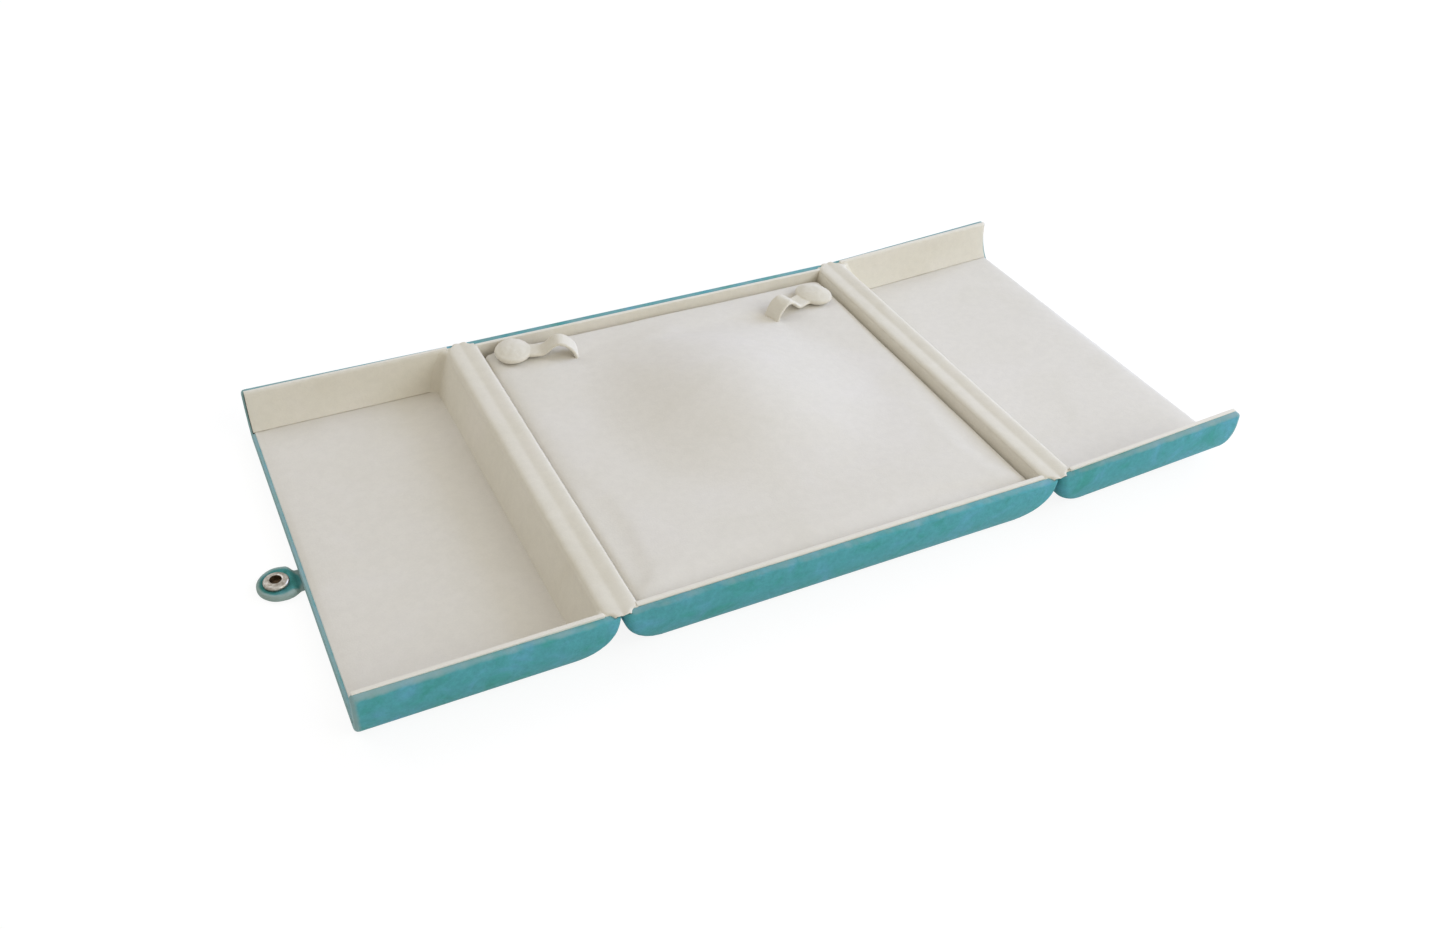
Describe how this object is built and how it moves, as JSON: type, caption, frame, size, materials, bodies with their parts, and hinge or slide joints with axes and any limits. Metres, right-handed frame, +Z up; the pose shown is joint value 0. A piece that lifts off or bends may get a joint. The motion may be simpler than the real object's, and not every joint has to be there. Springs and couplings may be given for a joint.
{
  "type": "necklace presentation box",
  "caption": "Square velvet-covered box with two hinged half lids, a padded display tray, holding straps for a chain and a snap-tab closure, shown open.",
  "frame": {"origin": "middle of the base's underside, on the surface the box stands on", "axes": "+Z up; -Y is the front; the lids open towards -X and +X"},
  "size_m": [0.3962, 0.19, 0.0283],
  "materials": {
    "teal_velvet": "short-pile velvet with a soft sheen",
    "cream_velvet": "short-pile velvet, cream",
    "cream_card": "card wrapped in cream velvet",
    "tray_plastic": "matt moulded shell, hidden under the velvet",
    "grey_board": "plain grey pulp board",
    "snap_metal": "pressed, slightly worn plated metal"
  },
  "bodies": {
    "base": {"base_velvet_cover": "teal_velvet", "base_shell": "tray_plastic", "base_front_lining_card": "cream_card", "base_back_lining_card": "cream_card", "base_left_hinge_roll": "cream_velvet", "base_right_hinge_roll": "cream_velvet", "pad_riser_left": "grey_board", "pad_riser_middle": "grey_board", "pad_riser_right": "grey_board", "pad_board": "grey_board", "display_pad": "cream_velvet", "left_strap_stud": "snap_metal", "right_strap_stud": "snap_metal"},
    "left_lid": {"left_lid_velvet_cover": "teal_velvet", "left_lid_shell": "tray_plastic", "left_lid_front_lining_card": "cream_card", "left_lid_back_lining_card": "cream_card", "left_lid_hinge_roll": "cream_velvet", "left_lid_floor_pad": "cream_velvet", "left_hinge_cloth": "cream_velvet"},
    "right_lid": {"right_lid_velvet_cover": "teal_velvet", "right_lid_shell": "tray_plastic", "right_lid_front_lining_card": "cream_card", "right_lid_back_lining_card": "cream_card", "right_lid_hinge_roll": "cream_velvet", "right_lid_floor_pad": "cream_velvet", "right_hinge_cloth": "cream_velvet", "snap_stud": "snap_metal", "snap_stud_backplate": "snap_metal"},
    "snap_tab": {"snap_tab": "teal_velvet", "snap_socket": "snap_metal", "snap_cap": "teal_velvet"},
    "left_strap": {"left_strap": "cream_velvet", "left_strap_socket": "snap_metal"},
    "right_strap": {"right_strap": "cream_velvet", "right_strap_socket": "snap_metal"}
  },
  "joints": [
    {"name": "left_lid_hinge", "type": "hinge", "parent": "base", "child": "left_lid", "pos_m": [-0.095, 0, 0.0227], "axis": [0, 1, 0], "range_deg": [0, 180], "deforming": ["left_hinge_cloth"]},
    {"name": "right_lid_hinge", "type": "hinge", "parent": "base", "child": "right_lid", "pos_m": [0.095, 0, 0.0227], "axis": [0, -1, 0], "range_deg": [-2.94, 177.06], "deforming": ["right_hinge_cloth"]},
    {"name": "snap_tab_fold", "type": "hinge", "parent": "left_lid", "child": "snap_tab", "pos_m": [-0.19, -0.0075, 0.0005], "axis": [0, -1, 0], "range_deg": [-45, 100]},
    {"name": "left_strap_fold", "type": "hinge", "parent": "base", "child": "left_strap", "pos_m": [-0.04822, 0.07131, 0.0197], "axis": [-0.2924, -0.9563, 0], "range_deg": [-95, 0]},
    {"name": "right_strap_fold", "type": "hinge", "parent": "base", "child": "right_strap", "pos_m": [0.04772, 0.06281, 0.0197], "axis": [-0.2924, 0.9563, 0], "range_deg": [-95, 0]}
  ]
}
